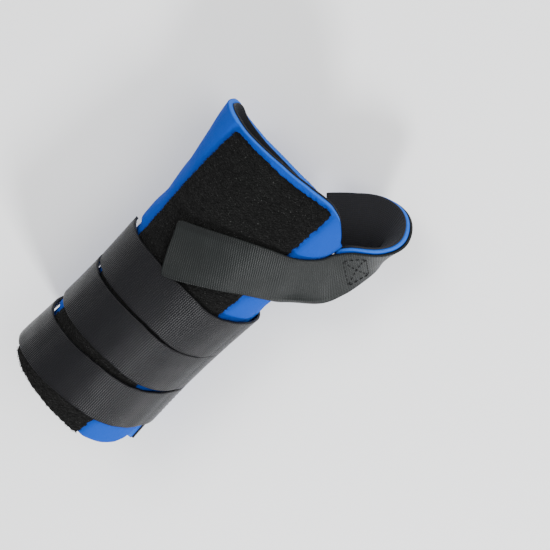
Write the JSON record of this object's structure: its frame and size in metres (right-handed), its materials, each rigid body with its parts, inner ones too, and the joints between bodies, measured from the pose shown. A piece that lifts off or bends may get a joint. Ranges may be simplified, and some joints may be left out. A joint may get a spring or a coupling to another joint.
{
  "type": "wrist splint",
  "caption": "Left wrist splint: lined foam wrap with a stayed palm, hook-and-loop straps round the wrist and forearm, and a strapped thumb tongue.",
  "frame": {"origin": "middle of the flat underside of the stay pocket, on the surface the splint rests on", "axes": "+X towards the fingers, +Y towards the little-finger side, +Z towards the back of the hand"},
  "size_m": [0.19, 0.1055, 0.0654],
  "materials": {
    "blue_foam": "brushed knit face on foam",
    "black_lining": "fine knit",
    "black_pile": "loop pile",
    "pocket_fabric": "plain weave",
    "aluminium_stay": "mill finish",
    "forearm_webbing": "ribbed narrow weave, satin",
    "thumb_webbing": "ribbed narrow weave, satin",
    "hook_tape": "hook tape",
    "thread": "sewing thread"
  },
  "bodies": {
    "wrap": {"wrap_shell": "blue_foam", "wrap_lining": "black_lining", "dorsal_pile_patch": "black_pile", "stay_pocket": "pocket_fabric", "palmar_stay": "aluminium_stay", "wrist_strap_base": "forearm_webbing", "middle_strap_base": "forearm_webbing", "forearm_strap_base": "forearm_webbing", "wrist_strap_stitch": "thread", "middle_strap_stitch": "thread", "forearm_strap_stitch": "thread"},
    "thumb_tongue": {"thumb_tongue_shell": "blue_foam", "thumb_tongue_lining": "black_lining", "thumb_strap_base": "thumb_webbing", "thumb_box_stitch": "thread"},
    "thumb_strap_free": {"thumb_strap": "thumb_webbing", "thumb_strap_hook": "hook_tape"},
    "wrist_strap_free": {"wrist_strap": "forearm_webbing", "wrist_strap_hook": "hook_tape"},
    "middle_strap_free": {"middle_strap": "forearm_webbing", "middle_strap_hook": "hook_tape"},
    "forearm_strap_free": {"forearm_strap": "forearm_webbing", "forearm_strap_hook": "hook_tape"}
  },
  "joints": [
    {"name": "thumb_tongue_swing", "type": "hinge", "parent": "wrap", "child": "thumb_tongue", "pos_m": [0.09825, -0.026, 0.015], "axis": [0.6757, 0.7372, 0], "range_deg": [0, 20], "stiffness_Nm_per_rad": 0.05, "springref_deg": -8.59},
    {"name": "thumb_strap_peel", "type": "hinge", "parent": "thumb_tongue", "child": "thumb_strap_free", "pos_m": [0.09221, -0.05482, 0.03879], "axis": [0.5889, 0.31, 0.7464], "range_deg": [0, 120]},
    {"name": "wrist_strap_peel", "type": "hinge", "parent": "wrap", "child": "wrist_strap_free", "pos_m": [0.0287, -0.03886, 0.02746], "axis": [0.9976, -0.0191, -0.066], "range_deg": [0, 108]},
    {"name": "middle_strap_peel", "type": "hinge", "parent": "wrap", "child": "middle_strap_free", "pos_m": [0.0027, -0.03831, 0.02929], "axis": [0.9982, -0.0008, -0.0608], "range_deg": [0, 115]},
    {"name": "forearm_strap_peel", "type": "hinge", "parent": "wrap", "child": "forearm_strap_free", "pos_m": [-0.0247, -0.0389, 0.03058], "axis": [0.9988, 0.0237, -0.0433], "range_deg": [0, 115]}
  ],
  "couplings": [
    {"joint": "wrist_strap_peel", "follows": "thumb_strap_peel", "ratio": 0.9}
  ]
}
